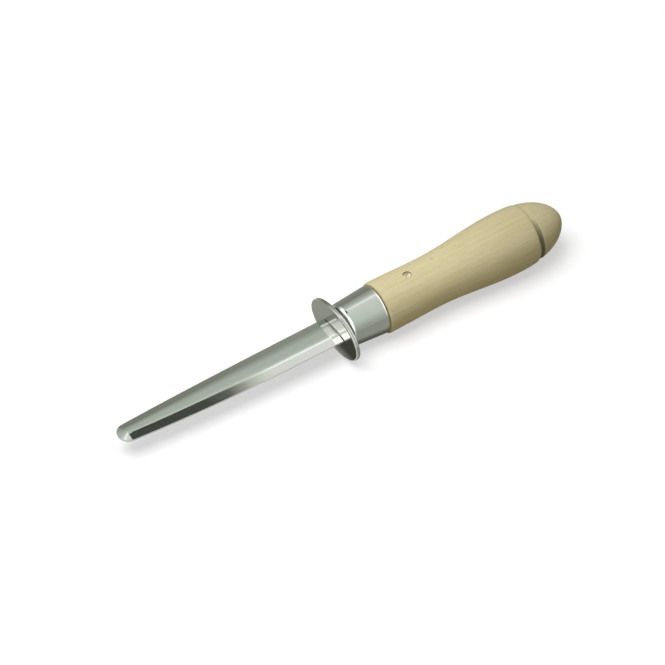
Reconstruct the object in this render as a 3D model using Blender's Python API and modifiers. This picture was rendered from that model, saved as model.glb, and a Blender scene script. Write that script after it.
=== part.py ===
"""Oyster knife: a stiff forged blade with a tang, an oval steel guard, a conical steel ferrule
and a turned beech handle, held together by one cross pin.

The knife lies as it rests on a table, on the lower edge of its guard and on the bulb of its
handle, with the flats of the blade nearly level and its point swept up a little. Each piece is
drawn in the knife's own frame: the origin is the middle of the guard's front face, +X runs along
the axis to the butt, +Z is up.
"""

from math import asin, cos, pi, sin

import bmesh
import bpy
from mathutils import Matrix, Vector

MM = 0.001
CLEARANCE = 0.3 * MM
MERGE_DISTANCE = 0.02 * MM

# Guard: an oval disc, long axis in the plane of the blade
GUARD_HALF_WIDTH = 17.5 * MM
GUARD_HALF_HEIGHT = 11.6 * MM
GUARD_THICKNESS = 2.0 * MM
GUARD_ROUNDING = 0.55 * MM
GUARD_SEGMENTS = 40
RIM_ANGLE = 0.8

# Blade: a broad flat with a bevel to either side, on both faces, and a blunt rounded point
BLADE_LENGTH = 108.2 * MM
BLADE_ROOT_HALF_WIDTH = 7.75 * MM
BLADE_TIP_RADIUS = 5.0 * MM
BLADE_TAPER_POWER = 2.6
BLADE_HALF_THICKNESS = 1.35 * MM
BLADE_EDGE_HALF_THICKNESS = 0.45 * MM
BLADE_ROUNDING = 0.3 * MM
FLAT_ROOT_HALF_WIDTH = 4.2 * MM
FLAT_TIP_HALF_WIDTH = 1.85 * MM
FLAT_TAPER_POWER = 2.4
END_BEVEL_LENGTH = 4.2 * MM
STRAIGHT_LENGTH = 25.0 * MM
SWEEP_RISE = 1.8 * MM
STRAIGHT_STATIONS = 3
SWEEP_STATIONS = 18
TIP_STEPS = 10
TIP_BLEND = 0.15
TIP_START_ANGLE = 0.06 * pi
RIDGE_ANGLE = 0.15

# Tang: one with the blade, runs through guard and ferrule into the handle
TANG_LENGTH = 72.0 * MM
TANG_ROOT_WIDTH = 9.0 * MM
TANG_END_WIDTH = 5.4 * MM
TANG_THICKNESS = 2.4 * MM
TANG_BURY = 4.0 * MM

# Ferrule: a drawn conical cap with a round shoulder, a slotted front and a rear lip turned in
FERRULE_FRONT_X = GUARD_THICKNESS + CLEARANCE
FERRULE_REAR_X = 21.7 * MM
FERRULE_FRONT_RADIUS = 9.8 * MM
FERRULE_REAR_RADIUS = 11.1 * MM
FERRULE_WALL = 1.0 * MM
FERRULE_FRONT_WALL = 1.4 * MM
SHOULDER_ROUNDING = 3.5 * MM
SHOULDER_STEPS = 8
LIP_LENGTH = 1.5 * MM
LIP_DEPTH = 0.5 * MM
LIP_STEPS = 6
LIP_START_X = FERRULE_REAR_X - LIP_LENGTH
INNER_CORNER = SHOULDER_ROUNDING - FERRULE_WALL

# Handle: turned wood, slim behind the ferrule, a bulb, a ring groove and a domed end
HANDLE_FRONT_X = FERRULE_REAR_X + CLEARANCE
HANDLE_FRONT_RADIUS = 11.88 * MM
NECK_X = 49.0 * MM
NECK_RADIUS = 11.4 * MM
BULB_RADIUS = 14.05 * MM
HANDLE_END_X = 116.8 * MM
BUTT_LENGTH = 28.8 * MM
BUTT_LENGTH_POWER = 2.6
BUTT_RADIUS_POWER = 1.75
BULB_X = HANDLE_END_X - BUTT_LENGTH
GROOVE_FROM_END = 17.4 * MM
GROOVE_X = HANDLE_END_X - GROOVE_FROM_END
GROOVE_DEPTH = 0.7 * MM
GROOVE_SHOULDER_LENGTH = 2.6 * MM
GROOVE_WALL_LENGTH = 0.6 * MM

# Pin: a steel cross pin through the handle and the tang, up and down
PIN_X = 37.7 * MM
PIN_RADIUS = 1.75 * MM
PIN_END_ROUNDING = 0.5 * MM
PIN_SINK = 0.25 * MM

TURNED_STEPS = 72
PIN_STEPS = 32
ROD_SEGMENTS = 40


def smooth(t):
    t = min(max(t, 0.0), 1.0)
    return t * t * (3.0 - 2.0 * t)


def blend(a, b, t):
    return a + (b - a) * t


def handle_radius(x):
    """Radius of the wood at x, as if it had no groove."""
    if x < NECK_X:
        t = (x - HANDLE_FRONT_X) / (NECK_X - HANDLE_FRONT_X)
        return blend(HANDLE_FRONT_RADIUS, NECK_RADIUS, smooth(t))
    if x < BULB_X:
        return blend(NECK_RADIUS, BULB_RADIUS, smooth((x - NECK_X) / (BULB_X - NECK_X)))
    t = (x - BULB_X) / BUTT_LENGTH
    return BULB_RADIUS * (1.0 - t ** BUTT_LENGTH_POWER) ** (1.0 / BUTT_RADIUS_POWER)


def groove_depth(x):
    """The groove rolls in softly from the bulb and ends in a crisp wall at the dome."""
    if x < GROOVE_X:
        return GROOVE_DEPTH * max(0.0, 1.0 - (GROOVE_X - x) / GROOVE_SHOULDER_LENGTH) ** 2
    return GROOVE_DEPTH * max(0.0, 1.0 - (x - GROOVE_X) / GROOVE_WALL_LENGTH)


def even_steps(start, end, count):
    return [blend(start, end, i / count) for i in range(count)]


def dome_steps(start, count):
    """Places along the dome that crowd together where it closes at the butt."""
    first = (start - BULB_X) / BUTT_LENGTH
    angle = asin(first ** (BUTT_LENGTH_POWER / 2))
    turns = [sin(a) ** (2 / BUTT_LENGTH_POWER) for a in even_steps(angle, pi / 2, count)]
    return [blend(BULB_X, HANDLE_END_X, t) for t in turns]


def blade_half_width(x):
    """Half the width of the blade at x, up to where the round of the point starts."""
    t = -x / (BLADE_LENGTH - BLADE_TIP_RADIUS)
    return blend(BLADE_ROOT_HALF_WIDTH, BLADE_TIP_RADIUS, t ** BLADE_TAPER_POWER)


def flat_half_width(x):
    t = -x / (BLADE_LENGTH - END_BEVEL_LENGTH)
    return blend(FLAT_ROOT_HALF_WIDTH, FLAT_TIP_HALF_WIDTH, t ** FLAT_TAPER_POWER)


def blade_rise(x):
    """How far the middle of the blade has swept up at x."""
    t = (-x - STRAIGHT_LENGTH) / (BLADE_LENGTH - STRAIGHT_LENGTH)
    return SWEEP_RISE * max(0.0, t) ** 2


def tang_half_width(x):
    return blend(TANG_ROOT_WIDTH, TANG_END_WIDTH, x / TANG_LENGTH) / 2


def handle_profile():
    """(x, radius) pairs of the handle from its front to the butt, down the outer side."""
    spigot = FERRULE_FRONT_X + FERRULE_FRONT_WALL + CLEARANCE
    corner = spigot + INNER_CORNER
    points = [(spigot, 0.0), (spigot, ferrule_bore(spigot) - INNER_CORNER - CLEARANCE)]
    points += [(x, ferrule_bore(x) - CLEARANCE) for x in (corner, LIP_START_X, HANDLE_FRONT_X)]
    shoulder, wall = GROOVE_X - GROOVE_SHOULDER_LENGTH, GROOVE_X + GROOVE_WALL_LENGTH
    places = even_steps(HANDLE_FRONT_X, shoulder, 18) + even_steps(shoulder, GROOVE_X, 4)
    places += [GROOVE_X] + dome_steps(wall, 10)
    points += [(x, handle_radius(x) - groove_depth(x)) for x in places]
    points.append((HANDLE_END_X, 0.0))
    return points


def ferrule_outside(x):
    t = (x - FERRULE_FRONT_X) / (LIP_START_X - FERRULE_FRONT_X)
    return blend(FERRULE_FRONT_RADIUS, FERRULE_REAR_RADIUS, t)


def ferrule_bore(x):
    return ferrule_outside(min(x, LIP_START_X)) - FERRULE_WALL


def ferrule_profile():
    """Closed loop of (x, radius): over the shoulder and down the cone, back up the bore."""
    front, rounding = FERRULE_FRONT_X, SHOULDER_ROUNDING
    points = [(front, 0.0)]
    for i in range(SHOULDER_STEPS + 1):
        a = i / SHOULDER_STEPS * pi / 2
        x = front + rounding * (1 - cos(a))
        points.append((x, ferrule_outside(x) - rounding * (1 - sin(a))))
    for i in range(LIP_STEPS + 1):
        a = i / LIP_STEPS * pi / 2
        x = LIP_START_X + LIP_LENGTH * sin(a)
        points.append((x, FERRULE_REAR_RADIUS - LIP_DEPTH * (1 - cos(a))))
    inside = front + FERRULE_FRONT_WALL
    points += [(x, ferrule_bore(x)) for x in (FERRULE_REAR_X, LIP_START_X, inside + INNER_CORNER)]
    points += [(inside, ferrule_bore(inside) - INNER_CORNER), (inside, 0.0)]
    return points


def pin_profile():
    half = handle_radius(PIN_X) - PIN_SINK
    round_over, radius = PIN_END_ROUNDING, PIN_RADIUS
    steps = 5
    crown = [(half - round_over * (1 - cos(i / steps * pi / 2)), radius * sin(i / steps * pi / 2))
             for i in range(steps + 1)]
    return crown + [(-z, r) for z, r in reversed(crown)]


def guard_low(tilt):
    """How far below the axis point x = 0 the guard's rim reaches when the knife is tilted."""
    return GUARD_HALF_HEIGHT * cos(tilt) - GUARD_ROUNDING * sin(tilt)


def handle_low(tilt):
    """How far the wood reaches down; a positive tilt lifts the butt."""
    return max(r * cos(tilt) - x * sin(tilt) for x, r in handle_profile())


def rest_tilt():
    """Angle at which guard and bulb touch one level, found by halving."""
    low, high = -0.2, 0.2
    for _ in range(50):
        middle = (low + high) / 2
        if handle_low(middle) > guard_low(middle):
            low = middle
        else:
            high = middle
    return (low + high) / 2


def metal(name, colour, roughness):
    material = bpy.data.materials.new(name)
    material.use_nodes = True
    shader = material.node_tree.nodes["Principled BSDF"]
    shader.inputs["Base Color"].default_value = (*colour, 1.0)
    shader.inputs["Metallic"].default_value = 1.0
    shader.inputs["Roughness"].default_value = roughness
    return material


def wood(name, colour, roughness):
    material = metal(name, colour, roughness)
    material.node_tree.nodes["Principled BSDF"].inputs["Metallic"].default_value = 0.0
    return material


def collection(name):
    made = bpy.data.collections.new(name)
    bpy.context.scene.collection.children.link(made)
    return made


def add_object(name, mesh, group, material=None):
    obj = bpy.data.objects.new(name, mesh)
    group.objects.link(obj)
    if material:
        mesh.materials.append(material)
    return obj


def as_cutter(obj):
    obj.hide_render = True
    obj.display_type = "WIRE"
    return obj


def shaded(obj, angle=0.6):
    obj.data.shade_smooth()
    obj.data.set_sharp_from_angle(angle=angle)


def mesh_of(name, build):
    """A mesh whose content the function build puts into an empty bmesh."""
    mesh = bpy.data.meshes.new(name)
    bm = bmesh.new()
    build(bm)
    bm.to_mesh(mesh)
    bm.free()
    return mesh


def turned(name, profile, group, material, steps=TURNED_STEPS):
    """Turn (distance, radius) pairs about the local Z axis, the first pair at the top."""
    mesh = bpy.data.meshes.new(name)
    verts = [(r, 0.0, -x) for x, r in profile]
    edges = [(i, i + 1) for i in range(len(verts) - 1)]
    mesh.from_pydata(verts, edges, [])
    obj = add_object(name, mesh, group, material)
    screw = obj.modifiers.new("Turn", "SCREW")
    screw.axis = "Z"
    screw.angle = 2 * pi
    screw.steps = steps
    screw.render_steps = steps
    screw.use_merge_vertices = True
    screw.merge_threshold = MERGE_DISTANCE
    screw.use_smooth_shade = True
    return obj


def block(name, x0, x1, half0, half1, half_z, group):
    """A bar from x0 to x1 whose half width changes from half0 to half1."""
    def build(bm):
        bmesh.ops.create_cube(bm, size=1.0)
        for v in bm.verts:
            half = half0 if v.co.x < 0 else half1
            v.co = Vector((blend(x0, x1, v.co.x + 0.5), 2 * half * v.co.y, 2 * half_z * v.co.z))
    return add_object(name, mesh_of(name, build), group)


def upright_rod(name, radius, length, group):
    def build(bm):
        bmesh.ops.create_cone(bm, cap_ends=True, segments=ROD_SEGMENTS, radius1=radius,
                              radius2=radius, depth=length)
    obj = add_object(name, mesh_of(name, build), group)
    obj.location.x = PIN_X
    return obj


def boolean(obj, other, operation="DIFFERENCE"):
    cut = obj.modifiers.new(other.name, "BOOLEAN")
    cut.object = other
    cut.operation = operation
    cut.solver = "EXACT"
    return cut


def blade_stations():
    last = (1.0 + TIP_BLEND) * BLADE_TIP_RADIUS - BLADE_LENGTH
    straight = even_steps(-CLEARANCE, -STRAIGHT_LENGTH, STRAIGHT_STATIONS)
    return straight + even_steps(-STRAIGHT_LENGTH, last, SWEEP_STATIONS) + [last]


def blade_rows(bm):
    """Loft a quarter section, from the middle of the face to the middle of the edge."""
    h, edge = BLADE_HALF_THICKNESS, BLADE_EDGE_HALF_THICKNESS
    rows = []
    for x in blade_stations():
        y = blade_half_width(x)
        row = [(x, 0.0, h), (x, flat_half_width(x), h), (x, y, edge), (x, y, 0.0)]
        rows.append([bm.verts.new(p) for p in row])
    for a, b in zip(rows, rows[1:]):
        for k in range(3):
            bm.faces.new((a[k], a[k + 1], b[k + 1], b[k]))
    corner = bm.verts.new((rows[0][0].co.x, 0.0, 0.0))
    bm.faces.new([corner] + rows[0][::-1])
    return rows


def blade_point(bm, last):
    """Close the quarter round the point: the flat ends in a fan of narrow end bevels."""
    flat_end = END_BEVEL_LENGTH - BLADE_LENGTH
    round_start = BLADE_TIP_RADIUS - BLADE_LENGTH
    ridge, rim, mid = [], [], []
    for i in range(TIP_STEPS + 1):
        t = i / TIP_STEPS
        a = blend(TIP_START_ANGLE, pi / 2, t)
        x = round_start - BLADE_TIP_RADIUS * sin(a)
        y = BLADE_TIP_RADIUS * cos(a) if i < TIP_STEPS else 0.0
        ridge.append(bm.verts.new((flat_end, FLAT_TIP_HALF_WIDTH * (1 - t), BLADE_HALF_THICKNESS)))
        rim.append(bm.verts.new((x, y, BLADE_EDGE_HALF_THICKNESS)))
        mid.append(bm.verts.new((x, y, 0.0)))
    bm.faces.new([last[0], last[1]] + ridge)
    bm.faces.new((last[1], last[2], rim[0], ridge[0]))
    bm.faces.new((last[2], last[3], mid[0], rim[0]))
    for i in range(TIP_STEPS):
        bm.faces.new((ridge[i], rim[i], rim[i + 1], ridge[i + 1]))
        bm.faces.new((rim[i], mid[i], mid[i + 1], rim[i + 1]))


def blade_body(bm):
    """A quarter, mirrored to both sides and both faces, then swept up towards the point."""
    rows = blade_rows(bm)
    blade_point(bm, rows[-1])
    for axis in "YZ":
        bmesh.ops.mirror(bm, geom=bm.verts[:] + bm.edges[:] + bm.faces[:], axis=axis,
                         merge_dist=MERGE_DISTANCE)
    bmesh.ops.recalc_face_normals(bm, faces=bm.faces)
    for v in bm.verts:
        v.co.z += blade_rise(v.co.x)


def make_blade(group, cutters, steel):
    blade = add_object("blade", mesh_of("blade", blade_body), group, steel)
    bevel = blade.modifiers.new("Polished ridges", "BEVEL")
    bevel.width = BLADE_ROUNDING
    bevel.segments = 2
    bevel.limit_method = "ANGLE"
    bevel.angle_limit = RIDGE_ANGLE
    end = TANG_LENGTH
    tang = as_cutter(block("tang_bar", -TANG_BURY, end, tang_half_width(-TANG_BURY),
                           tang_half_width(end), TANG_THICKNESS / 2, cutters))
    boolean(blade, tang, "UNION")
    hole = as_cutter(upright_rod("tang_hole", PIN_RADIUS + CLEARANCE, 2 * TANG_THICKNESS, cutters))
    boolean(blade, hole)
    shaded(blade, 0.35)
    return blade


def make_guard(group, cutters, steel):
    """The oval disc, with one facet of its rim straight below so that it stands firm."""
    def build(bm):
        half_step = pi / GUARD_SEGMENTS
        radius = GUARD_HALF_HEIGHT / cos(half_step)
        bmesh.ops.create_cone(bm, cap_ends=True, segments=GUARD_SEGMENTS,
                              radius1=radius, radius2=radius, depth=GUARD_THICKNESS)
        turn = Matrix.Rotation(pi / 2, 4, "Y") @ Matrix.Rotation(half_step, 4, "Z")
        stretch = Matrix.Diagonal((1.0, GUARD_HALF_WIDTH / GUARD_HALF_HEIGHT, 1.0, 1.0))
        bmesh.ops.transform(bm, matrix=stretch @ turn, verts=bm.verts)
    guard = add_object("guard", mesh_of("guard", build), group, steel)
    guard.location.x = GUARD_THICKNESS / 2
    bevel = guard.modifiers.new("Rounded rim", "BEVEL")
    bevel.width = GUARD_ROUNDING
    bevel.segments = 3
    bevel.limit_method = "ANGLE"
    bevel.angle_limit = RIM_ANGLE
    slot = as_cutter(block("guard_slot", -GUARD_THICKNESS, 2 * GUARD_THICKNESS,
                           tang_half_width(0.0) + CLEARANCE, tang_half_width(0.0) + CLEARANCE,
                           TANG_THICKNESS / 2 + CLEARANCE, cutters))
    boolean(guard, slot)
    shaded(guard, 0.7)
    return guard


def lay_along_axis(obj):
    """Turn a piece that was turned about local Z so that its top looks to the point."""
    obj.rotation_euler = (0.0, -pi / 2, 0.0)


def make_ferrule(group, cutters, steel):
    ferrule = turned("ferrule", ferrule_profile(), group, steel)
    lay_along_axis(ferrule)
    start, end = 0.0, FERRULE_FRONT_X + FERRULE_FRONT_WALL + CLEARANCE
    slot = as_cutter(block("ferrule_slot", start, end, tang_half_width(0.0) + CLEARANCE,
                           tang_half_width(0.0) + CLEARANCE, TANG_THICKNESS / 2 + CLEARANCE,
                           cutters))
    boolean(ferrule, slot)
    return ferrule


def make_handle(group, cutters, beech):
    handle = turned("handle", handle_profile(), group, beech)
    lay_along_axis(handle)
    start, end = 0.0, TANG_LENGTH + 3 * CLEARANCE
    slot = as_cutter(block("tang_mortise", start, end, tang_half_width(start) + CLEARANCE,
                           tang_half_width(end) + CLEARANCE, TANG_THICKNESS / 2 + CLEARANCE,
                           cutters))
    boolean(handle, slot)
    hole = as_cutter(upright_rod("handle_hole", PIN_RADIUS + CLEARANCE,
                                 3 * handle_radius(PIN_X), cutters))
    boolean(handle, hole)
    return handle


def make_pin(group, steel):
    pin = turned("pin", [(-z, r) for z, r in pin_profile()], group, steel, PIN_STEPS)
    pin.location.x = PIN_X
    return pin


def main():
    for obj in list(bpy.data.objects):
        bpy.data.objects.remove(obj, do_unlink=True)
    group = collection("oyster_knife")
    cutters = collection("cutters")
    polished = metal("polished_steel", (0.46, 0.47, 0.43), 0.1)
    satin = metal("turned_steel", (0.44, 0.45, 0.41), 0.14)
    pin_steel = metal("pin_steel", (0.42, 0.42, 0.36), 0.25)
    beech = wood("beech", (0.61, 0.53, 0.32), 0.5)

    blade = make_blade(group, cutters, polished)
    guard = make_guard(group, cutters, polished)
    ferrule = make_ferrule(group, cutters, satin)
    handle = make_handle(group, cutters, beech)
    pin = make_pin(group, pin_steel)

    tilt = rest_tilt()
    frame = bpy.data.objects.new("rest_frame", None)
    group.objects.link(frame)
    reach = max(x * cos(tilt) + r * abs(sin(tilt)) for x, r in handle_profile())
    back = BLADE_LENGTH * cos(tilt) + (SWEEP_RISE + BLADE_EDGE_HALF_THICKNESS) * sin(tilt)
    frame.location = ((back - reach) / 2, 0.0, guard_low(tilt))
    frame.rotation_euler = (0.0, -tilt, 0.0)
    for obj in list(group.objects) + list(cutters.objects):
        if obj is not frame:
            obj.parent = frame
    bpy.context.view_layer.update()


main()
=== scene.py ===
# %% [markdown]
# # An oyster knife, dressed for its picture
# The imported model is a frame of exact solids. It gives every piece its place, but its facets
# would show as steps in polished steel. So each piece is drawn again here with finer curves,
# in the same place, and gets the finish of the real one: mirror-bright steel, a turned collar
# and pale beech. The frame is loaded first.

# %% Load the frame
from math import asin, cos, hypot, pi, radians, sin, tan

import bmesh
import bpy
from mathutils import Matrix, Vector


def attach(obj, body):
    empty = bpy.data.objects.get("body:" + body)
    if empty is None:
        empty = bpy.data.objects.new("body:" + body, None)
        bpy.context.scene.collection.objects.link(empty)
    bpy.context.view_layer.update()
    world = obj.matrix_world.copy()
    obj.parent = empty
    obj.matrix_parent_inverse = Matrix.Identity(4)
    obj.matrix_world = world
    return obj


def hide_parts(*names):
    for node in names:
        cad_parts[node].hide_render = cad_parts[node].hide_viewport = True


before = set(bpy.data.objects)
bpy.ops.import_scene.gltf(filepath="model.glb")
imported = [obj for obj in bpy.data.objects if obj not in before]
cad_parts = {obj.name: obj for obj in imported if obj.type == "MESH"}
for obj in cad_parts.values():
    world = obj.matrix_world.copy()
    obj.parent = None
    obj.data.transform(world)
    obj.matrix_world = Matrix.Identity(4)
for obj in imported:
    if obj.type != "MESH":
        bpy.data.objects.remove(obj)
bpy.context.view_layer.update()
print("frame nodes:", sorted(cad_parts))

# %% [markdown]
# ## The way the knife lies
# The knife is drawn along its own axis, with the origin in the middle of the guard's front
# face and +X towards the butt. On the table it rests on the guard's lower edge and on the bulb
# of the handle, so the axis leans by a degree and a half. One matrix lays every piece down.

# %% Rest position
MM = 0.001
MERGE = 0.002 * MM
DEGREES = 180.0 / pi
GAP = 0.3 * MM
REST_TILT = radians(1.63)
REST_PLACE = Vector((-4.2663, 0.0, 11.5797)) * MM
LAY_DOWN = Matrix.Translation(REST_PLACE) @ Matrix.Rotation(-REST_TILT, 4, "Y")


def smooth(t):
    t = min(max(t, 0.0), 1.0)
    return t * t * (3.0 - 2.0 * t)


def blend(a, b, t):
    return a + (b - a) * t


def even_steps(start, end, count):
    return [blend(start, end, i / count) for i in range(count)]


def quarter_turn(steps):
    """Angles from nothing to a right angle, for a rounded corner."""
    return [i / steps * pi / 2 for i in range(steps + 1)]


def settle(piece, node, finish):
    """Lay a piece down, let it ride with the knife and stand for its node of the frame."""
    piece.data.materials.append(finish)
    piece.data.transform(LAY_DOWN)
    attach(piece, "root")
    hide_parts(node)
    print(piece.name, "stands for", node, "with", len(piece.data.polygons), "faces")
    return piece


def mesh_object(name, mesh):
    piece = bpy.data.objects.new(name, mesh)
    bpy.context.scene.collection.objects.link(piece)
    return piece


print("knife axis leans by", round(REST_TILT * DEGREES, 2), "degrees")

# %% [markdown]
# ## Camera
# A product picture is taken from far away with a long lens, which keeps parallel edges nearly
# parallel. The camera looks down at the knife's side from about 46 degrees and is turned by
# about 34 degrees towards the point. Colours are shown as they are, without a film look.

# %% Camera
VIEW_AZIMUTH = radians(-33.86)
VIEW_ELEVATION = radians(46.41)
VIEW_DISTANCE = 2.5426
VIEW_SHIFT_RIGHT = 0.571 * MM
VIEW_SHIFT_UP = 0.880 * MM
PICTURE_SIDE = 665
FOCAL_PIXELS = 6000
SENSOR = 36.0

right = Vector((cos(VIEW_AZIMUTH), sin(VIEW_AZIMUTH), 0.0))
back = Vector((sin(VIEW_AZIMUTH) * cos(VIEW_ELEVATION),
               -cos(VIEW_AZIMUTH) * cos(VIEW_ELEVATION), sin(VIEW_ELEVATION)))
up = back.cross(right)
eye = REST_PLACE + back * VIEW_DISTANCE - right * VIEW_SHIFT_RIGHT - up * VIEW_SHIFT_UP

camera = bpy.data.objects.new("camera", bpy.data.cameras.new("camera"))
bpy.context.scene.collection.objects.link(camera)
camera.data.sensor_width = SENSOR
camera.data.lens = SENSOR * FOCAL_PIXELS / PICTURE_SIDE
camera.data.clip_end = 50.0
camera.matrix_world = Matrix((
    (right.x, up.x, back.x, eye.x),
    (right.y, up.y, back.y, eye.y),
    (right.z, up.z, back.z, eye.z),
    (0.0, 0.0, 0.0, 1.0)))
bpy.context.scene.camera = camera
bpy.context.scene.view_settings.view_transform = "Standard"
print("camera at", [round(v, 3) for v in eye], "lens", round(camera.data.lens, 1))

# %% [markdown]
# ## Maths with sockets
# A finish is a small sum of patterns. Written as nodes, each plus sign costs three lines, so
# one class wraps a socket and lets Python's own operators add the Math nodes. Every other node
# comes from one method that takes its type, its settings and what goes into its sockets.

# %% Socket class
class Wire:
    """A node socket that can be added, scaled and raised like a number."""

    def __init__(self, tree, socket=None):
        self.tree, self.socket = tree, socket

    def node(self, kind, settings=None, sockets=None, out=0):
        made = self.tree.nodes.new(kind)
        for key, value in (settings or {}).items():
            if key == "stops":
                ramp = made.color_ramp.elements
                while len(ramp) < len(value):
                    ramp.new(0.5)
                for element, (place, colour) in zip(ramp, value):
                    element.position, element.color = place, (*colour, 1.0)
            else:
                setattr(made, key, value)
        for key, value in (sockets or {}).items():
            if isinstance(value, Wire):
                self.tree.links.new(value.socket, made.inputs[key])
            else:
                made.inputs[key].default_value = value
        return Wire(self.tree, made.outputs[out] if made.outputs else None)

    def beside(self, out):
        """Another output of the same node."""
        return Wire(self.tree, self.socket.node.outputs[out])

    def math(self, operation, a, b=0.0):
        return self.node("ShaderNodeMath", {"operation": operation}, {0: a, 1: b})

    def __add__(self, other):
        return self.math("ADD", self, other)

    def __sub__(self, other):
        return self.math("SUBTRACT", self, other)

    def __rsub__(self, other):
        return self.math("SUBTRACT", other, self)

    def __mul__(self, other):
        return self.math("MULTIPLY", self, other)

    def __truediv__(self, other):
        return self.math("DIVIDE", self, other)

    def __pow__(self, other):
        return self.math("POWER", self, other)

    __radd__ = __add__
    __rmul__ = __mul__

    def step(self, low, high):
        """0 below low, 1 above high, smooth between."""
        return self.node("ShaderNodeMapRange", {"interpolation_type": "SMOOTHSTEP"},
                         {0: self, 1: low, 2: high})

    def mixed(self, first, second):
        """The colour first where this is 0 and second where it is 1."""
        return self.node("ShaderNodeMix", {"data_type": "RGBA"},
                         {0: self, 6: first, 7: second}, out=2)

    def scaled(self, factors):
        """A vector multiplied by three factors, one for each axis."""
        return self.node("ShaderNodeVectorMath", {"operation": "MULTIPLY"},
                         {0: self, 1: factors})

    def noise(self, per_metre, detail=2.0, roughness=0.5):
        """Noise whose lumps are 1/x, 1/y and 1/z metres long."""
        return self.node("ShaderNodeTexNoise", None,
                         {"Vector": self.scaled(per_metre), "Scale": 1.0, "Detail": detail,
                          "Roughness": roughness})


def new_finish(name):
    """A fresh material's tree, emptied, and the place on the piece along the knife's own axes."""
    material = bpy.data.materials.new(name)
    material.use_nodes = True
    material.node_tree.nodes.clear()
    lying = Wire(material.node_tree).node("ShaderNodeTexCoord", out=3)
    place = lying.node("ShaderNodeMapping", {"vector_type": "TEXTURE"},
                       {0: lying, 1: REST_PLACE, 2: (0.0, -REST_TILT, 0.0)})
    return material, place


def surface(place, sockets):
    """The shader that closes a finish."""
    shader = place.node("ShaderNodeBsdfPrincipled", None, sockets)
    place.node("ShaderNodeOutputMaterial", None, {0: shader})


print("socket maths ready")

# %% [markdown]
# ## Polished steel
# The blade, guard and collar are ground and then buffed until they mirror the studio. Up close
# such steel still shows hair-fine lines along the way it was buffed, and faint cloudy patches
# where hands and the wheel left it less bright. Both mostly change how rough it is.

# %% Polished steel
HAIR_ROUGH, CLOUD_ROUGH, DULL_ROUGH = 0.05, 0.07, 0.15
DARK_SHARE, DULL_AND_SHADE_SHARE = 0.94, 0.35
HAIR_STRENGTH, HAIR_DEPTH = 0.1, 0.01 * MM


def polished_steel(name, tint, lines, base_rough, dull_and_shade=None):
    """Buffed steel; the last argument, if given, makes from the place a mask of where it is left
    dull and where shade is painted.
    """
    material, place = new_finish(name)
    hairs = place.noise(lines, detail=3.0, roughness=0.6)
    clouds = place.noise((55.0, 90.0, 90.0))
    rough = base_rough + HAIR_ROUGH * hairs + CLOUD_ROUGH * clouds.step(0.45, 0.85)
    darker = tuple(v * DARK_SHARE for v in tint)
    colour = (0.6 * hairs + 0.4 * clouds).step(0.35, 0.65).mixed((*darker, 1.0), (*tint, 1.0))
    # darker and rougher where the mask says: dull steel, and painted shade on the guard's back
    # and the pin's rim
    if dull_and_shade:
        mask = dull_and_shade(place)
        colour = mask.mixed(colour, (*(v * DULL_AND_SHADE_SHARE for v in tint), 1.0))
        rough = rough + DULL_ROUGH * mask
    bump = place.node("ShaderNodeBump", None, {"Strength": HAIR_STRENGTH,
                                               "Distance": HAIR_DEPTH, "Height": hairs})
    surface(place, {"Base Color": colour, "Metallic": 1.0, "Roughness": rough,
                    "Normal": bump})
    return material


print("polished steel ready")

# %% [markdown]
# ## Dull places and painted shade
# Two places are not buffed: the back of the guard, which stays as the press left it, and the
# ends of the pin, where a punch spread the steel and left a curved stroke. Both also get painted
# shade: the guard's back is darkened for the gap before the collar, and the rim of each pin end
# for the hole it sits sunk in. Each is a mask worked out from the place on the piece, so it
# needs no picture and stays put from any side.

# %% Dull places, painted shade and steel finishes
GUARD_THICK = 2.0 * MM
DULL_SHADED_BACK_STARTS, DULL_SHADED_BACK_FULL = GUARD_THICK - 0.25 * MM, GUARD_THICK - 0.05 * MM
PIN_X, PIN_R, PIN_SINK = 37.7 * MM, 1.75 * MM, 0.12 * MM
STROKE_X, STROKE_Y = 0.56, 0.83
STROKE_BEND, STROKE_WAVE = 0.22, 3.0
STROKE_EDGE, STROKE_DULL = (0.06, 0.3), 0.5
RIM_SHADE_EDGE, RIM_SHADE = (0.72, 0.95), 0.45


def dull_shaded_back_of_guard(place):
    """The side of the guard that faces the collar stays as the press left it, and is darkened as
    painted shade.
    """
    x = place.node("ShaderNodeSeparateXYZ", None, {0: place})
    return x.step(DULL_SHADED_BACK_STARTS, DULL_SHADED_BACK_FULL)


def punch_stroke_and_rim_shade(place):
    """One curved stroke across each end of the pin, and a darker rim: painted shade of the hole
    it sits sunk in.
    """
    xyz = place.node("ShaderNodeSeparateXYZ", None, {0: place})
    along_x, along_y = (xyz - PIN_X) / PIN_R, xyz.beside(1) / PIN_R
    across = STROKE_Y * along_x - STROKE_X * along_y
    along = STROKE_X * along_x + STROKE_Y * along_y
    bend = STROKE_BEND * place.math("SINE", STROKE_WAVE * along)
    off = place.math("ABSOLUTE", across - bend)
    # the rim is painted shade, where the sunk pin end meets its hole
    rim = ((along_x ** 2.0 + along_y ** 2.0) ** 0.5).step(*RIM_SHADE_EDGE)
    return (1.0 - off.step(*STROKE_EDGE)) * STROKE_DULL + RIM_SHADE * rim


BRIGHT_STEEL = (0.455, 0.467, 0.44)
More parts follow.
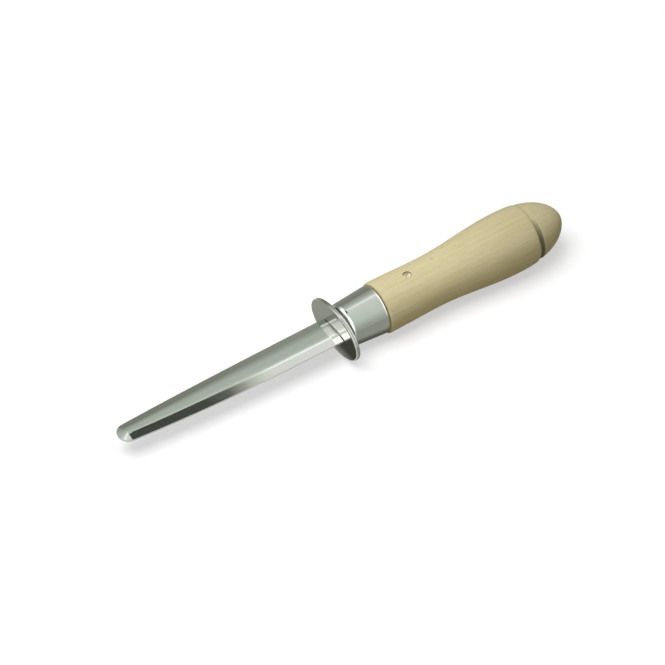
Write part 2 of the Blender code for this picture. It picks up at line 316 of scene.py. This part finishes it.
# the guard's steel is darker than the blade's: painted shade for the darker table and shadow it
# mirrors
SHADED_GUARD_STEEL = (0.41, 0.415, 0.385)
PIN_STEEL = (0.62, 0.53, 0.36)
blade_steel = polished_steel("blade_steel", BRIGHT_STEEL, (70.0, 9000.0, 9000.0), 0.06)
guard_steel = polished_steel("guard_steel", SHADED_GUARD_STEEL, (900.0, 9000.0, 400.0), 0.08,
                             dull_shaded_back_of_guard)
ferrule_steel = polished_steel("ferrule_steel", BRIGHT_STEEL, (7000.0, 60.0, 60.0), 0.12)
pin_steel = polished_steel("pin_steel", PIN_STEEL, (2500.0, 2500.0, 2500.0), 0.25,
                           punch_stroke_and_rim_shade)
print("steel finishes ready")

# %% [markdown]
# ## Pale beech
# Beech has close, even wood: soft growth rings a few millimetres apart, long fibres, and short
# brown flecks where its rays are cut through. A handle is turned from a straight stick, so the
# rings run along it and close into arcs on the domed end. A solid pattern in three dimensions
# gives all of that from one rule, because the turned shape cuts it just as the lathe does. A
# knot is laid over it, and painted shade: low in the ring groove, most on the near side, and
# towards the butt, where less light falls.

# %% Beech
HEART = (46.0 * MM, 31.0 * MM)
RING = 2.3 * MM
KNOT, KNOT_EDGE, KNOT_CORE = (51.6 * MM, 1.9 * MM, 11.2 * MM), 1.05 * MM, 0.6 * MM
GROOVE_X = 99.4 * MM
GROOVE_SHADE_STARTS = (GROOVE_X - 1.6 * MM, GROOVE_X - 0.2 * MM)
GROOVE_SHADE_ENDS = (GROOVE_X + 1.1 * MM, GROOVE_X + 1.5 * MM)
SHADED_SIDE = (2.0 * MM, 12.0 * MM)
PAINTED_SHADE_TOWARDS_BUTT = (45.0 * MM, 115.0 * MM)
PALE_WOOD, TAN_WOOD = (0.68, 0.60, 0.375, 1.0), (0.57, 0.49, 0.25, 1.0)
BROWN = (0.33, 0.25, 0.12, 1.0)
GROOVE_PAINTED_SHADE, BUTT_PAINTED_SHADE = (0.07, 0.06, 0.035, 1.0), (0.05, 0.04, 0.02, 1.0)
FIBRE_STRENGTH, FIBRE_DEPTH = 0.18, 0.03 * MM


def beech(name):
    material, place = new_finish(name)
    xyz = place.node("ShaderNodeSeparateXYZ", None, {0: place})
    sway = place.noise((14.0, 45.0, 45.0)) - 0.5
    across = ((xyz.beside(1) + HEART[0]) ** 2.0 + (xyz.beside(2) + HEART[1]) ** 2.0) ** 0.5
    turns = (across + 0.004 * sway) / RING
    late = place.math("FRACT", turns)
    ring = late.step(0.35, 0.95) * (1.0 - late.step(0.95, 1.0))
    fibres = place.noise((30.0, 1500.0, 1500.0), detail=3.0, roughness=0.65)
    bands = place.noise((9.0, 170.0, 170.0))
    ray = place.node("ShaderNodeTexVoronoi", {"feature": "F1"},
                     {"Vector": place.scaled((420.0, 2400.0, 2400.0)), "Scale": 1.0})
    lucky = place.node("ShaderNodeSeparateColor", None, {0: ray.beside(1)}).step(0.62, 0.66)
    fleck = (1.0 - ray.step(0.12, 0.3)) * lucky
    shade = 0.16 * ring + 0.44 * fibres.step(0.38, 0.68) + 0.30 * bands.step(0.35, 0.7)
    wood = shade.mixed(PALE_WOOD, TAN_WOOD)
    wood = (0.4 * fleck).mixed(wood, BROWN)
    knot = place.node("ShaderNodeVectorMath", {"operation": "DISTANCE"},
                      {0: place, 1: KNOT}, out=1)
    wood = (0.3 * knot.step(KNOT_EDGE, KNOT_CORE)).mixed(wood, BROWN)
    # painted shade: darker in the ring groove, most on its near, lower side
    groove_shade = xyz.step(*GROOVE_SHADE_STARTS) * (1.0 - xyz.step(*GROOVE_SHADE_ENDS))
    shaded_side = (0.0 - xyz.beside(1)).step(*SHADED_SIDE)
    wood = (groove_shade * (0.08 + 0.75 * shaded_side)).mixed(wood, GROOVE_PAINTED_SHADE)
    # painted shade: darker towards the butt, where less light falls
    wood = (0.22 * xyz.step(*PAINTED_SHADE_TOWARDS_BUTT)).mixed(wood, BUTT_PAINTED_SHADE)
    rough = 0.42 + 0.12 * fibres + 0.08 * fleck
    relief = 0.6 * fibres - 0.5 * fleck - 0.2 * ring
    bump = place.node("ShaderNodeBump", None, {"Strength": FIBRE_STRENGTH,
                                               "Distance": FIBRE_DEPTH, "Height": relief})
    surface(place, {"Base Color": wood, "Roughness": rough, "Normal": bump,
                    "Specular IOR Level": 0.2})
    return material


handle_wood = beech("handle_wood")
print("beech ready")

# %% [markdown]
# ## Turned pieces
# Collar, handle and pin come off a lathe, so a profile spun round the axis is the true way to
# make them. Slots and holes are cut afterwards, as on the real ones, with a Boolean that is
# applied at once, so that no cutter is left in the scene.

# %% Lathe
HANDLE_STEPS, COLLAR_STEPS, PIN_STEPS, ROD_STEPS = 256, 224, 72, 64


def turned(name, profile, steps, axis=(1, 0, 0)):
    """Spin (distance, radius) pairs round an axis of the knife."""
    mesh = bpy.data.meshes.new(name)
    bm = bmesh.new()
    along = Vector(axis)
    out = Vector((0, 0, 1)) if axis[0] else Vector((1, 0, 0))
    line = [bm.verts.new(along * x + out * r) for x, r in profile]
    edges = [bm.edges.new(pair) for pair in zip(line, line[1:])]
    bmesh.ops.spin(bm, geom=line + edges, cent=(0, 0, 0), axis=axis, angle=2 * pi,
                   steps=steps, use_merge=True)
    bmesh.ops.remove_doubles(bm, verts=bm.verts, dist=MERGE)
    bmesh.ops.recalc_face_normals(bm, faces=bm.faces)
    bm.to_mesh(mesh)
    bm.free()
    return mesh_object(name, mesh)


print("lathe ready")


# %% Cutters and shading
def bar(x0, x1, half0, half1, half_z):
    """A closed bar from x0 to x1, half0 and half1 wide to either side."""
    bm = bmesh.new()
    bmesh.ops.create_cube(bm, size=1.0)
    for v in bm.verts:
        half = half0 if v.co.x < 0 else half1
        v.co = Vector((blend(x0, x1, v.co.x + 0.5), 2 * half * v.co.y, 2 * half_z * v.co.z))
    mesh = bpy.data.meshes.new("bar")
    bm.to_mesh(mesh)
    bm.free()
    return mesh_object("bar", mesh)


def combine(piece, other, operation="DIFFERENCE"):
    """Apply one Boolean and throw the other shape away."""
    step = piece.modifiers.new("step", "BOOLEAN")
    step.object, step.operation, step.solver = other, operation, "EXACT"
    apply_all(piece)
    bpy.data.objects.remove(other, do_unlink=True)


def apply_all(piece):
    """Replace the mesh by what its modifiers make of it."""
    depsgraph = bpy.context.evaluated_depsgraph_get()
    made = bpy.data.meshes.new_from_object(piece.evaluated_get(depsgraph))
    piece.modifiers.clear()
    piece.data = made


def shade(piece, angle, ground=False):
    """Smooth shading; on a ground piece the broad faces stay flat up to their rounded edges."""
    piece.data.shade_smooth()
    piece.data.set_sharp_from_angle(angle=radians(angle))
    if ground:
        piece.modifiers.new("flat_faces", "WEIGHTED_NORMAL").keep_sharp = True
        apply_all(piece)


print("cutters ready")

# %% [markdown]
# ## Handle
# The wood is slim behind the collar, swells to a bulb that fills the palm and closes in a dome.
# Its front edge, which stands a little proud of the collar, is rounded off. Near the end a ring
# groove rolls in softly from the bulb and stops at a crisp wall. Such a form is one profile
# turned round the axis, so its sizes are named first.

# %% Handle shape
COLLAR_FRONT_X, COLLAR_REAR_X = 2.3 * MM, 21.7 * MM
COLLAR_FRONT_R, COLLAR_REAR_R = 9.8 * MM, 11.1 * MM
COLLAR_WALL, COLLAR_FRONT_WALL = 1.0 * MM, 1.4 * MM
SHOULDER_R, LIP_LENGTH, LIP_DEPTH = 3.5 * MM, 1.5 * MM, 0.5 * MM
LIP_X = COLLAR_REAR_X - LIP_LENGTH
INNER_CORNER = SHOULDER_R - COLLAR_WALL
HANDLE_FRONT_X = COLLAR_REAR_X + GAP
HANDLE_FRONT_R = 11.88 * MM
NECK_X, NECK_R = 49.0 * MM, 11.4 * MM
BULB_X, BULB_R = 88.0 * MM, 14.05 * MM
HANDLE_END_X = 116.8 * MM
BUTT_LENGTH_POWER, BUTT_RADIUS_POWER = 2.6, 1.75
GROOVE_DEPTH, GROOVE_UNEVEN = 0.6 * MM, 0.9
GROOVE_SHOULDER, GROOVE_WALL = 2.4 * MM, 1.5 * MM
DOME_SHARE = 0.985
HANDLE_ROUND = 1.0 * MM
BODY_STEPS, GROOVE_STEPS, WALL_STEPS, DOME_STEPS, ROUND_STEPS = 150, 12, 3, 36, 8


def handle_radius(x):
    if x < NECK_X:
        t = (x - HANDLE_FRONT_X) / (NECK_X - HANDLE_FRONT_X)
        return blend(HANDLE_FRONT_R, NECK_R, smooth(t))
    if x < BULB_X:
        return blend(NECK_R, BULB_R, smooth((x - NECK_X) / (BULB_X - NECK_X)))
    t = (x - BULB_X) / (HANDLE_END_X - BULB_X)
    share = 1.0 if x < GROOVE_X else DOME_SHARE
    return share * BULB_R * (1.0 - t ** BUTT_LENGTH_POWER) ** (1.0 / BUTT_RADIUS_POWER)


def groove_depth(x):
    if x < GROOVE_X:
        return GROOVE_DEPTH * max(0.0, 1.0 - (GROOVE_X - x) / GROOVE_SHOULDER) ** 2
    return GROOVE_DEPTH * max(0.0, 1.0 - (x - GROOVE_X) / GROOVE_WALL)


def dome_steps(start, count):
    """Places along the dome that crowd together where it closes."""
    first = (start - BULB_X) / (HANDLE_END_X - BULB_X)
    angle = asin(first ** (BUTT_LENGTH_POWER / 2))
    turns = [sin(a) ** (2 / BUTT_LENGTH_POWER) for a in even_steps(angle, pi / 2, count)]
    return [blend(BULB_X, HANDLE_END_X, t) for t in turns]


def collar_outside(x):
    t = (x - COLLAR_FRONT_X) / (LIP_X - COLLAR_FRONT_X)
    return blend(COLLAR_FRONT_R, COLLAR_REAR_R, t)


def collar_bore(x):
    return collar_outside(min(x, LIP_X)) - COLLAR_WALL


print("handle is", round(2000 * handle_radius(NECK_X), 1), "mm thick at the neck and",
      round(2000 * handle_radius(BULB_X), 1), "mm at the bulb")

# %% [markdown]
# ## Turning the handle
# The profile starts with the spigot that fits inside the collar, rounds the front edge and
# follows the bulb, the groove and the dome. The turner cuts the groove by eye, so it is deeper
# on one side: its points are pulled in there after the turning. A mortise for the tang and a
# hole for the cross pin are cut last.

# %% Handle mesh
CUT_Y, CUT_Z = 0.97, 0.26
PIN_GAP = 0.12 * MM
TANG_LENGTH, TANG_ROOT, TANG_END, TANG_THICK = 72.0 * MM, 9.0 * MM, 5.4 * MM, 2.4 * MM


def handle_profile():
    spigot = COLLAR_FRONT_X + COLLAR_FRONT_WALL + GAP
    corner = spigot + INNER_CORNER
    points = [(spigot, 0.0), (spigot, collar_bore(spigot) - INNER_CORNER - GAP)]
    points += [(x, collar_bore(x) - GAP) for x in (corner, LIP_X, HANDLE_FRONT_X)]
    shoulder, wall = GROOVE_X - GROOVE_SHOULDER, GROOVE_X + GROOVE_WALL
    rounds = [(HANDLE_FRONT_X + HANDLE_ROUND * (1 - cos(a)), HANDLE_ROUND * (1 - sin(a)))
              for a in quarter_turn(ROUND_STEPS)]
    points += [(x, handle_radius(x) - drop) for x, drop in rounds]
    places = even_steps(HANDLE_FRONT_X + HANDLE_ROUND, shoulder, BODY_STEPS)[1:]
    places += even_steps(shoulder, GROOVE_X, GROOVE_STEPS)
    places += even_steps(GROOVE_X, wall, WALL_STEPS) + dome_steps(wall, DOME_STEPS)
    points += [(x, handle_radius(x) - groove_depth(x)) for x in places]
    points.append((HANDLE_END_X, 0.0))
    return points


def tang_half(x):
    """Half the tang's width; it narrows from the guard to its end."""
    return blend(TANG_ROOT, TANG_END, x / TANG_LENGTH) / 2


def upright_rod(radius, length):
    return turned("rod", [(-length, 0.0), (-length, radius), (length, radius), (length, 0.0)],
                  ROD_STEPS, (0, 0, 1))


def cut_by_eye(piece):
    """Deepen the groove low on the near side and ease it on the far side."""
    for v in piece.data.vertices:
        r = hypot(v.co.y, v.co.z)
        if r > 0.0:
            side = (CUT_Z * v.co.z - CUT_Y * v.co.y) / r
            pull = GROOVE_UNEVEN * groove_depth(v.co.x) * side / r
            v.co.y, v.co.z = v.co.y * (1.0 - pull), v.co.z * (1.0 - pull)


handle = turned("beech_handle", handle_profile(), HANDLE_STEPS)
cut_by_eye(handle)
mortise_end = TANG_LENGTH + 3 * GAP
combine(handle, bar(0.0, mortise_end, tang_half(0.0) + GAP, tang_half(mortise_end) + GAP,
                    TANG_THICK / 2 + GAP))
hole = upright_rod(PIN_R + PIN_GAP, 2 * BULB_R)
hole.location.x = PIN_X
combine(handle, hole)
shade(handle, 35)
settle(handle, "handle", handle_wood)

# %% [markdown]
# ## Cross pin
# A short steel pin goes through the wood and the tang from top to bottom and holds the handle
# on. Its ends are filed round and lie a little below the wood.

# %% Cross pin
PIN_ROUND, PIN_ROUND_STEPS = 0.3 * MM, 12
pin_half = handle_radius(PIN_X) - PIN_SINK
crown = [(pin_half - PIN_ROUND * (1 - cos(a)), PIN_R * sin(a))
         for a in quarter_turn(PIN_ROUND_STEPS)]
pin = turned("cross_pin", [(-z, r) for z, r in crown] + [(z, r) for z, r in reversed(crown)],
             PIN_STEPS, (0, 0, 1))
pin.data.transform(Matrix.Translation((PIN_X, 0.0, 0.0)))
shade(pin, 50)
settle(pin, "pin", pin_steel)

# %% [markdown]
# ## Collar
# The collar is drawn from steel into a cone with a round shoulder, closed at the front by a
# slotted wall that the tang goes through. Its rear lip is turned in, so that it hugs the wood,
# which stands a little proud of it.

# %% Collar
SHOULDER_STEPS, CONE_STEPS, LIP_STEPS = 32, 12, 12


def collar_profile():
    bends = [(COLLAR_FRONT_X + SHOULDER_R * (1 - cos(a)), a)
             for a in quarter_turn(SHOULDER_STEPS)[:-1]]
    shoulder = [(x, collar_outside(x) - SHOULDER_R * (1 - sin(a))) for x, a in bends]
    cone = [(x, collar_outside(x))
            for x in even_steps(COLLAR_FRONT_X + SHOULDER_R, LIP_X, CONE_STEPS)]
    lip = [(LIP_X + LIP_LENGTH * sin(a), COLLAR_REAR_R - LIP_DEPTH * (1 - cos(a)))
           for a in quarter_turn(LIP_STEPS)]
    inside = COLLAR_FRONT_X + COLLAR_FRONT_WALL
    bore = [(x, collar_bore(x)) for x in (COLLAR_REAR_X, LIP_X, inside + INNER_CORNER)]
    closing = [(inside, collar_bore(inside) - INNER_CORNER), (inside, 0.0)]
    return [(COLLAR_FRONT_X, 0.0)] + shoulder + cone + lip + bore + closing


collar = turned("turned_collar", collar_profile(), COLLAR_STEPS)
combine(collar, bar(0.0, COLLAR_FRONT_X + COLLAR_FRONT_WALL + GAP, tang_half(0.0) + GAP,
                    tang_half(0.0) + GAP, TANG_THICK / 2 + GAP))
shade(collar, 35)
settle(collar, "ferrule", ferrule_steel)

# %% [markdown]
# ## Guard
# The guard is an oval stamped from sheet, with its rim tumbled round, and a slot for the tang.
# A stretched disc with a rounded rim is all it needs.

# %% Guard
GUARD_HALF_WIDTH, GUARD_HALF_HEIGHT = 17.5 * MM, 11.6 * MM
GUARD_ROUND = 0.55 * MM
GUARD_STEPS, RIM_SEGMENTS, RIM_ANGLE = 256, 6, 1.0


def guard_mesh(name):
    bm = bmesh.new()
    bmesh.ops.create_cone(bm, cap_ends=True, segments=GUARD_STEPS,
                          radius1=GUARD_HALF_HEIGHT, radius2=GUARD_HALF_HEIGHT,
                          depth=GUARD_THICK)
    stretch = Matrix.Diagonal((1.0, GUARD_HALF_WIDTH / GUARD_HALF_HEIGHT, 1.0, 1.0))
    place = Matrix.Translation((GUARD_THICK / 2, 0.0, 0.0))
    bmesh.ops.transform(bm, matrix=place @ stretch @ Matrix.Rotation(pi / 2, 4, "Y"),
                        verts=bm.verts)
    rims = [e for e in bm.edges if e.calc_face_angle() > RIM_ANGLE]
    bmesh.ops.bevel(bm, geom=rims, offset=GUARD_ROUND, segments=RIM_SEGMENTS, profile=0.5,
                    affect="EDGES")
    mesh = bpy.data.meshes.new(name)
    bm.to_mesh(mesh)
    bm.free()
    return mesh


guard = mesh_object("oval_guard", guard_mesh("oval_guard"))
combine(guard, bar(-GUARD_THICK, 2 * GUARD_THICK, tang_half(0.0) + GAP, tang_half(0.0) + GAP,
                   TANG_THICK / 2 + GAP))
shade(guard, 35, ground=True)
settle(guard, "guard", guard_steel)

# %% [markdown]
# ## Blade
# The blade is forged thick, for leverage and not for cutting. Its faces are ground in three:
# a broad middle, crowned so little that it looks flat and falling off a little more beside the
# ridge, and a bevel to either side. The middle runs out a few millimetres before the blunt
# round point, where a short end bevel takes over. Only a quarter of it is drawn, station by
# station.

# %% Blade shape
BLADE_LENGTH, TIP_R = 108.2 * MM, 5.0 * MM
ROOT_HALF_WIDTH, TAPER_POWER = 7.75 * MM, 2.6
HALF_THICK, EDGE_HALF_THICK = 1.35 * MM, 0.45 * MM
FLAT_ROOT, FLAT_TIP, FLAT_POWER = 4.2 * MM, 1.85 * MM, 2.4
END_BEVEL = 4.2 * MM
STRAIGHT_LENGTH, SWEEP_RISE = 25.0 * MM, 1.8 * MM
CROWN_SLOPE, CROWN_POWER, CROWN_KNEE = tan(radians(9.0)), 3.5, 0.85
STATIONS, CROWN_STEPS, TIP_STEPS = 64, 20, 24
TIP_JOIN, TIP_FROM = 0.15 * TIP_R, 0.06


def half_width(x):
    return blend(ROOT_HALF_WIDTH, TIP_R, (-x / (BLADE_LENGTH - TIP_R)) ** TAPER_POWER)


def flat_half(x):
    return blend(FLAT_ROOT, FLAT_TIP, (-x / (BLADE_LENGTH - END_BEVEL)) ** FLAT_POWER)


def rise(x):
    t = (-x - STRAIGHT_LENGTH) / (BLADE_LENGTH - STRAIGHT_LENGTH)
    return SWEEP_RISE * max(0.0, t) ** 2


def crown_height(x, y):
    """Height of the crowned middle of a face at x and y."""
    out = y / flat_half(x)
    curved = CROWN_KNEE / CROWN_POWER * min(out / CROWN_KNEE, 1.0) ** CROWN_POWER
    straight = max(out - CROWN_KNEE, 0.0)
    return HALF_THICK - flat_half(x) * CROWN_SLOPE * (curved + straight)


def face_row(x):
    """Points of a quarter section at x, from the middle of the face to the edge."""
    ys = [flat_half(x) * k / CROWN_STEPS for k in range(CROWN_STEPS + 1)]
    row = [(x, y, crown_height(x, y)) for y in ys]
    return row + [(x, half_width(x), EDGE_HALF_THICK), (x, half_width(x), 0.0)]


def blade_quarter(bm):
    root, flat_end, round_start = -GAP, END_BEVEL - BLADE_LENGTH, TIP_R - BLADE_LENGTH
    last_x = round_start + TIP_JOIN
    rows = [[bm.verts.new(p) for p in face_row(x)]
            for x in even_steps(root, last_x, STATIONS) + [last_x]]
    for a, b in zip(rows, rows[1:]):
        for k in range(len(a) - 1):
            bm.faces.new((a[k], a[k + 1], b[k + 1], b[k]))
    corner = bm.verts.new((root, 0.0, 0.0))
    bm.faces.new([corner] + rows[0][::-1])
    tip_rows = []
    for i in range(TIP_STEPS + 1):
        t = i / TIP_STEPS
        a = blend(TIP_FROM, 0.5, t) * pi
        x = round_start - TIP_R * sin(a)
        y = TIP_R * cos(a) if i < TIP_STEPS else 0.0
        y_top = FLAT_TIP * (1 - t)
        tip_rows.append([bm.verts.new(p) for p in (
            (flat_end, y_top, crown_height(flat_end, y_top)), (x, y, EDGE_HALF_THICK),
            (x, y, 0.0))])
    last, first = rows[-1], tip_rows[0]
    bm.faces.new(last[:CROWN_STEPS + 1] + [row[0] for row in tip_rows])
    bm.faces.new((last[-3], last[-2], first[1], first[0]))
    bm.faces.new((last[-2], last[-1], first[2], first[1]))
    for a, b in zip(tip_rows, tip_rows[1:]):
        bm.faces.new((a[0], a[1], b[1], b[0]))
        bm.faces.new((a[1], a[2], b[2], b[1]))


print("blade is", round(2000 * half_width(0.0), 1), "mm wide at the root and",
      round(2000 * HALF_THICK, 1), "mm thick")

# %% [markdown]
# ## Forging the blade
# The quarter is mirrored twice, so that all four quarters agree, and then the whole sweeps up a
# little towards the point. Ground ridges are never knife-sharp, so each gets a narrow round.
# The tang is forged from the same piece of steel: it is joined on, and bored for the pin.

# %% Blade mesh
RIDGE_ROUND, RIDGE_SEGMENTS, RIDGE_ANGLE = 0.16 * MM, 3, 0.08
TANG_BURY = 4.0 * MM


def blade_mesh(name):
    bm = bmesh.new()
    blade_quarter(bm)
    bmesh.ops.recalc_face_normals(bm, faces=bm.faces)
    for axis in ("Y", "Z"):
        bmesh.ops.mirror(bm, geom=bm.verts[:] + bm.edges[:] + bm.faces[:], axis=axis,
                         merge_dist=MERGE)
    bmesh.ops.recalc_face_normals(bm, faces=bm.faces)
    for v in bm.verts:
        v.co.z += rise(v.co.x)
    ridges = [e for e in bm.edges
              if len(e.link_faces) == 2 and e.calc_face_angle() > RIDGE_ANGLE]
    bmesh.ops.bevel(bm, geom=ridges, offset=RIDGE_ROUND, segments=RIDGE_SEGMENTS,
                    profile=0.5, affect="EDGES", clamp_overlap=True)
    mesh = bpy.data.meshes.new(name)
    bm.to_mesh(mesh)
    bm.free()
    return mesh


blade = mesh_object("forged_blade", blade_mesh("forged_blade"))
combine(blade, bar(-TANG_BURY, TANG_LENGTH, tang_half(-TANG_BURY), tang_half(TANG_LENGTH),
                   TANG_THICK / 2), "UNION")
tang_hole = upright_rod(PIN_R + GAP, 2 * TANG_THICK)
tang_hole.location.x = PIN_X
combine(blade, tang_hole)
shade(blade, 25, ground=True)
settle(blade, "blade", blade_steel)

# %% [markdown]
# ## Floor
# The table is white paper. Part of its white comes from the lamps, so that the knife casts its
# shadow on it, and part is given to what the camera and the mirror-bright steel see, so that
# the paper is clean white around the knife. What it throws back on matt things is warmer,
# because the photograph's wood is olive on its lower side.

# %% Floor
FLOOR_SIDE = 6.0
FLOOR_DIFFUSE = (0.5, 0.5, 0.5, 1.0)
FLOOR_BOUNCE = (0.38, 0.34, 0.22, 1.0)
FLOOR_LIFT = 0.525
WHITE = (1.0, 1.0, 1.0, 1.0)


def pale_floor():
    bpy.ops.mesh.primitive_plane_add(size=FLOOR_SIDE, location=(0.0, 0.0, 0.0))
    floor = bpy.context.object
    floor.name = "floor"
    material, place = new_finish("white_paper")
    rays = place.node("ShaderNodeLightPath")
    seen = rays + rays.beside("Is Glossy Ray") + rays.beside("Is Transmission Ray")
    lift = place.node("ShaderNodeEmission", None, {0: WHITE, 1: FLOOR_LIFT * seen})
    bounce = rays.beside("Is Diffuse Ray").mixed(FLOOR_DIFFUSE, FLOOR_BOUNCE)
    matt = place.node("ShaderNodeBsdfDiffuse", None, {0: bounce})
    both = place.node("ShaderNodeAddShader", None, {0: lift, 1: matt})
    place.node("ShaderNodeOutputMaterial", None, {0: both})
    floor.data.materials.append(material)


pale_floor()
print("floor ready")

# %% [markdown]
# ## Surround
# Polished steel has no colour of its own to speak of: it shows the room. The room is a white
# tent whose brightness follows the angle over the knife: dim low on the far side, one bright
# seam above the knife, even overhead and dimmer again in front. The wall at the point's end is
# the brightest, dark only straight off the point, and the wall at the butt is bright too. Dim
# parts are a little olive and bright ones white. Matt surfaces get the tent's mean, and the
# camera sees plain white.

# %% Surround
TENT = ((95, 0.45), (75, 0.42), (62, 0.42), (59, 0.43), (57.3, 0.62), (50, 0.68), (44, 0.78),
        (38, 0.92), (33, 1.0), (29, 1.12), (25, 1.4), (23, 1.7), (21.5, 2.1), (19.4, 2.1),
        (18.2, 1.45), (4, 1.3), (-18, 1.22), (-50, 1.12), (-65, 0.93), (-80, 0.75), (-95, 0.6))
TENT_MEAN = 0.22
TENT_PEAK = 2.1
TENT_SPAN = 200.0
TENT_OLIVE, TENT_OLIVE_ENDS = (0.98, 1.0, 0.87, 1.0), (0.45, 0.75)
TENT_TONE, TENT_NEUTRAL = (0.91, 1.0, 0.91, 1.0), (1.15, 1.5)
END_WALL, END_WALL_STARTS, END_WALL_ENDS = 3.2, (0.0, 0.15), (0.45, 0.65)
CORNER_DARK = 0.2
BUTT_WALL, BUTT_WALL_STARTS = 2.0, (0.44, 0.62)
END_WALL_SIDE, END_WALL_TOP = (75.0, 38.0), (0.98, 0.90)


def tent(world):
    world.use_nodes = True
    world.node_tree.nodes.clear()
    toward = Wire(world.node_tree).node("ShaderNodeTexCoord", out=0)
    xyz = toward.node("ShaderNodeSeparateXYZ", None, {0: toward})
    angle = toward.math("ARCTAN2", xyz.beside(1), xyz.beside(2))
    stops = [(0.5 - degrees / TENT_SPAN, (value / TENT_PEAK,) * 3) for degrees, value in TENT]
    ramp = toward.node("ShaderNodeValToRGB", {"stops": stops},
                       {0: 0.5 - angle * (DEGREES / TENT_SPAN)})
    toward_point = 0.0 - xyz
    end_wall = (toward_point.step(*END_WALL_STARTS)
                * (angle * DEGREES).step(*END_WALL_SIDE)
                * xyz.beside(2).step(*END_WALL_TOP))
    ramp = ramp * (1.0 + (END_WALL - 1.0) * end_wall
                   + (BUTT_WALL - 1.0) * xyz.step(*BUTT_WALL_STARTS))
    ramp = ramp * (1.0 - (1.0 - CORNER_DARK / END_WALL) * toward_point.step(*END_WALL_ENDS))
    rays = toward.node("ShaderNodeLightPath")
    glossy = rays.beside("Is Glossy Ray")
    mirrored = TENT_PEAK * ramp
    toned = mirrored.step(*TENT_OLIVE_ENDS).mixed(TENT_OLIVE, TENT_TONE)
    level = rays + (1.0 - rays) * (glossy * mirrored + TENT_MEAN * (1.0 - glossy))
    plain = (1.0 - glossy) + glossy * mirrored.step(*TENT_NEUTRAL)
    glow = toward.node("ShaderNodeBackground", None,
                       {0: plain.mixed(toned, WHITE), 1: level})
    toward.node("ShaderNodeOutputWorld", None, {0: glow})


world = bpy.data.worlds.new("tent")
bpy.context.scene.world = world
tent(world)
print("surround ready")

# %% [markdown]
# ## Lamp
# One broad lamp, almost overhead, gives the soft shadow that hugs the knife. Neither the camera
# nor the steel sees it, because its picture in the blade would be a white patch.

# %% Lamp
def lamp(name, toward_lamp, distance, size, power):
    data = bpy.data.lights.new(name, "AREA")
    data.shape = "SQUARE"
    data.size = size
    data.energy = power
    made = bpy.data.objects.new(name, data)
    bpy.context.scene.collection.objects.link(made)
    direction = Vector(toward_lamp).normalized()
    made.location = direction * distance
    made.rotation_mode = "QUATERNION"
    made.rotation_quaternion = direction.to_track_quat("Z", "X")
    made.visible_camera = made.visible_glossy = False


lamp("overhead_lamp", toward_lamp=(-0.30, 0.05, 1.0), distance=2.2, size=1.66, power=49.0)
print("lamp ready")

# %% [markdown]
# ## Dark cards
# Photographers set black cards round bright metal to give it an edge. Five glowing cards stand
# here for openings of the tent and shadows on the table, and only mirrors show them: they are
# painted reflections. One over the point darkens the bevel there. One on the table in front gives
# the collar its dark side, and one behind greys the other. Two small ones at the blade's root are
# what the guard mirrors; the one under the root is painted shadow.

# %% Dark cards
CARD_GLOW = (0.97, 1.0, 0.88, 1.0)
ON_TABLE = 0.0005
# each card glows at its levels as a painted reflection; card_under_root is painted shadow under
# the blade
CARDS = (
    ("card_over_point", (-0.06, 0.047), (0.022, 0.10), 0.25, (0.12, 1.45), 0, (0.027, 0.047)),
    ("card_in_front", (-0.003, 0.20), (-0.60, 0.025), ON_TABLE, (0.17, 0.56), 1,
     (-0.0105, -0.02)),
    ("card_behind", (-0.002, 0.40), (0.03, 2.5), ON_TABLE, (0.42, 0.45), 1, (0.03, 0.5)),
    ("card_under_root", (-0.018, -0.0045), (-0.011, 0.003), ON_TABLE, (0.1, 0.4), 0,
     (-0.0075, -0.0045)),
    ("card_behind_root", (-0.04, -0.002), (0.003, 0.06), ON_TABLE, (0.45, 0.58), 1,
     (0.003, 0.02)))


def dark_card(name, x_range, y_range, height, levels, axis, fade):
    """A level card that only mirrors show; its level changes along one axis over fade."""
    bpy.ops.mesh.primitive_plane_add(size=1.0)
    card = bpy.context.object
    card.name = name
    card.scale = (x_range[1] - x_range[0], y_range[1] - y_range[0], 1.0)
    card.location = (sum(x_range) / 2, sum(y_range) / 2, height)
    material, place = new_finish(name)
    where = place.node("ShaderNodeNewGeometry")
    along = place.node("ShaderNodeSeparateXYZ", None, {0: where}, out=axis)
    level = levels[0] + (levels[1] - levels[0]) * along.step(*fade)
    glow = place.node("ShaderNodeEmission", None, {0: CARD_GLOW, 1: level})
    place.node("ShaderNodeOutputMaterial", None, {0: glow})
    card.data.materials.append(material)
    card.visible_camera = card.visible_diffuse = card.visible_shadow = False
    print(card.name, "ready")


for card in CARDS:
    dark_card(*card)
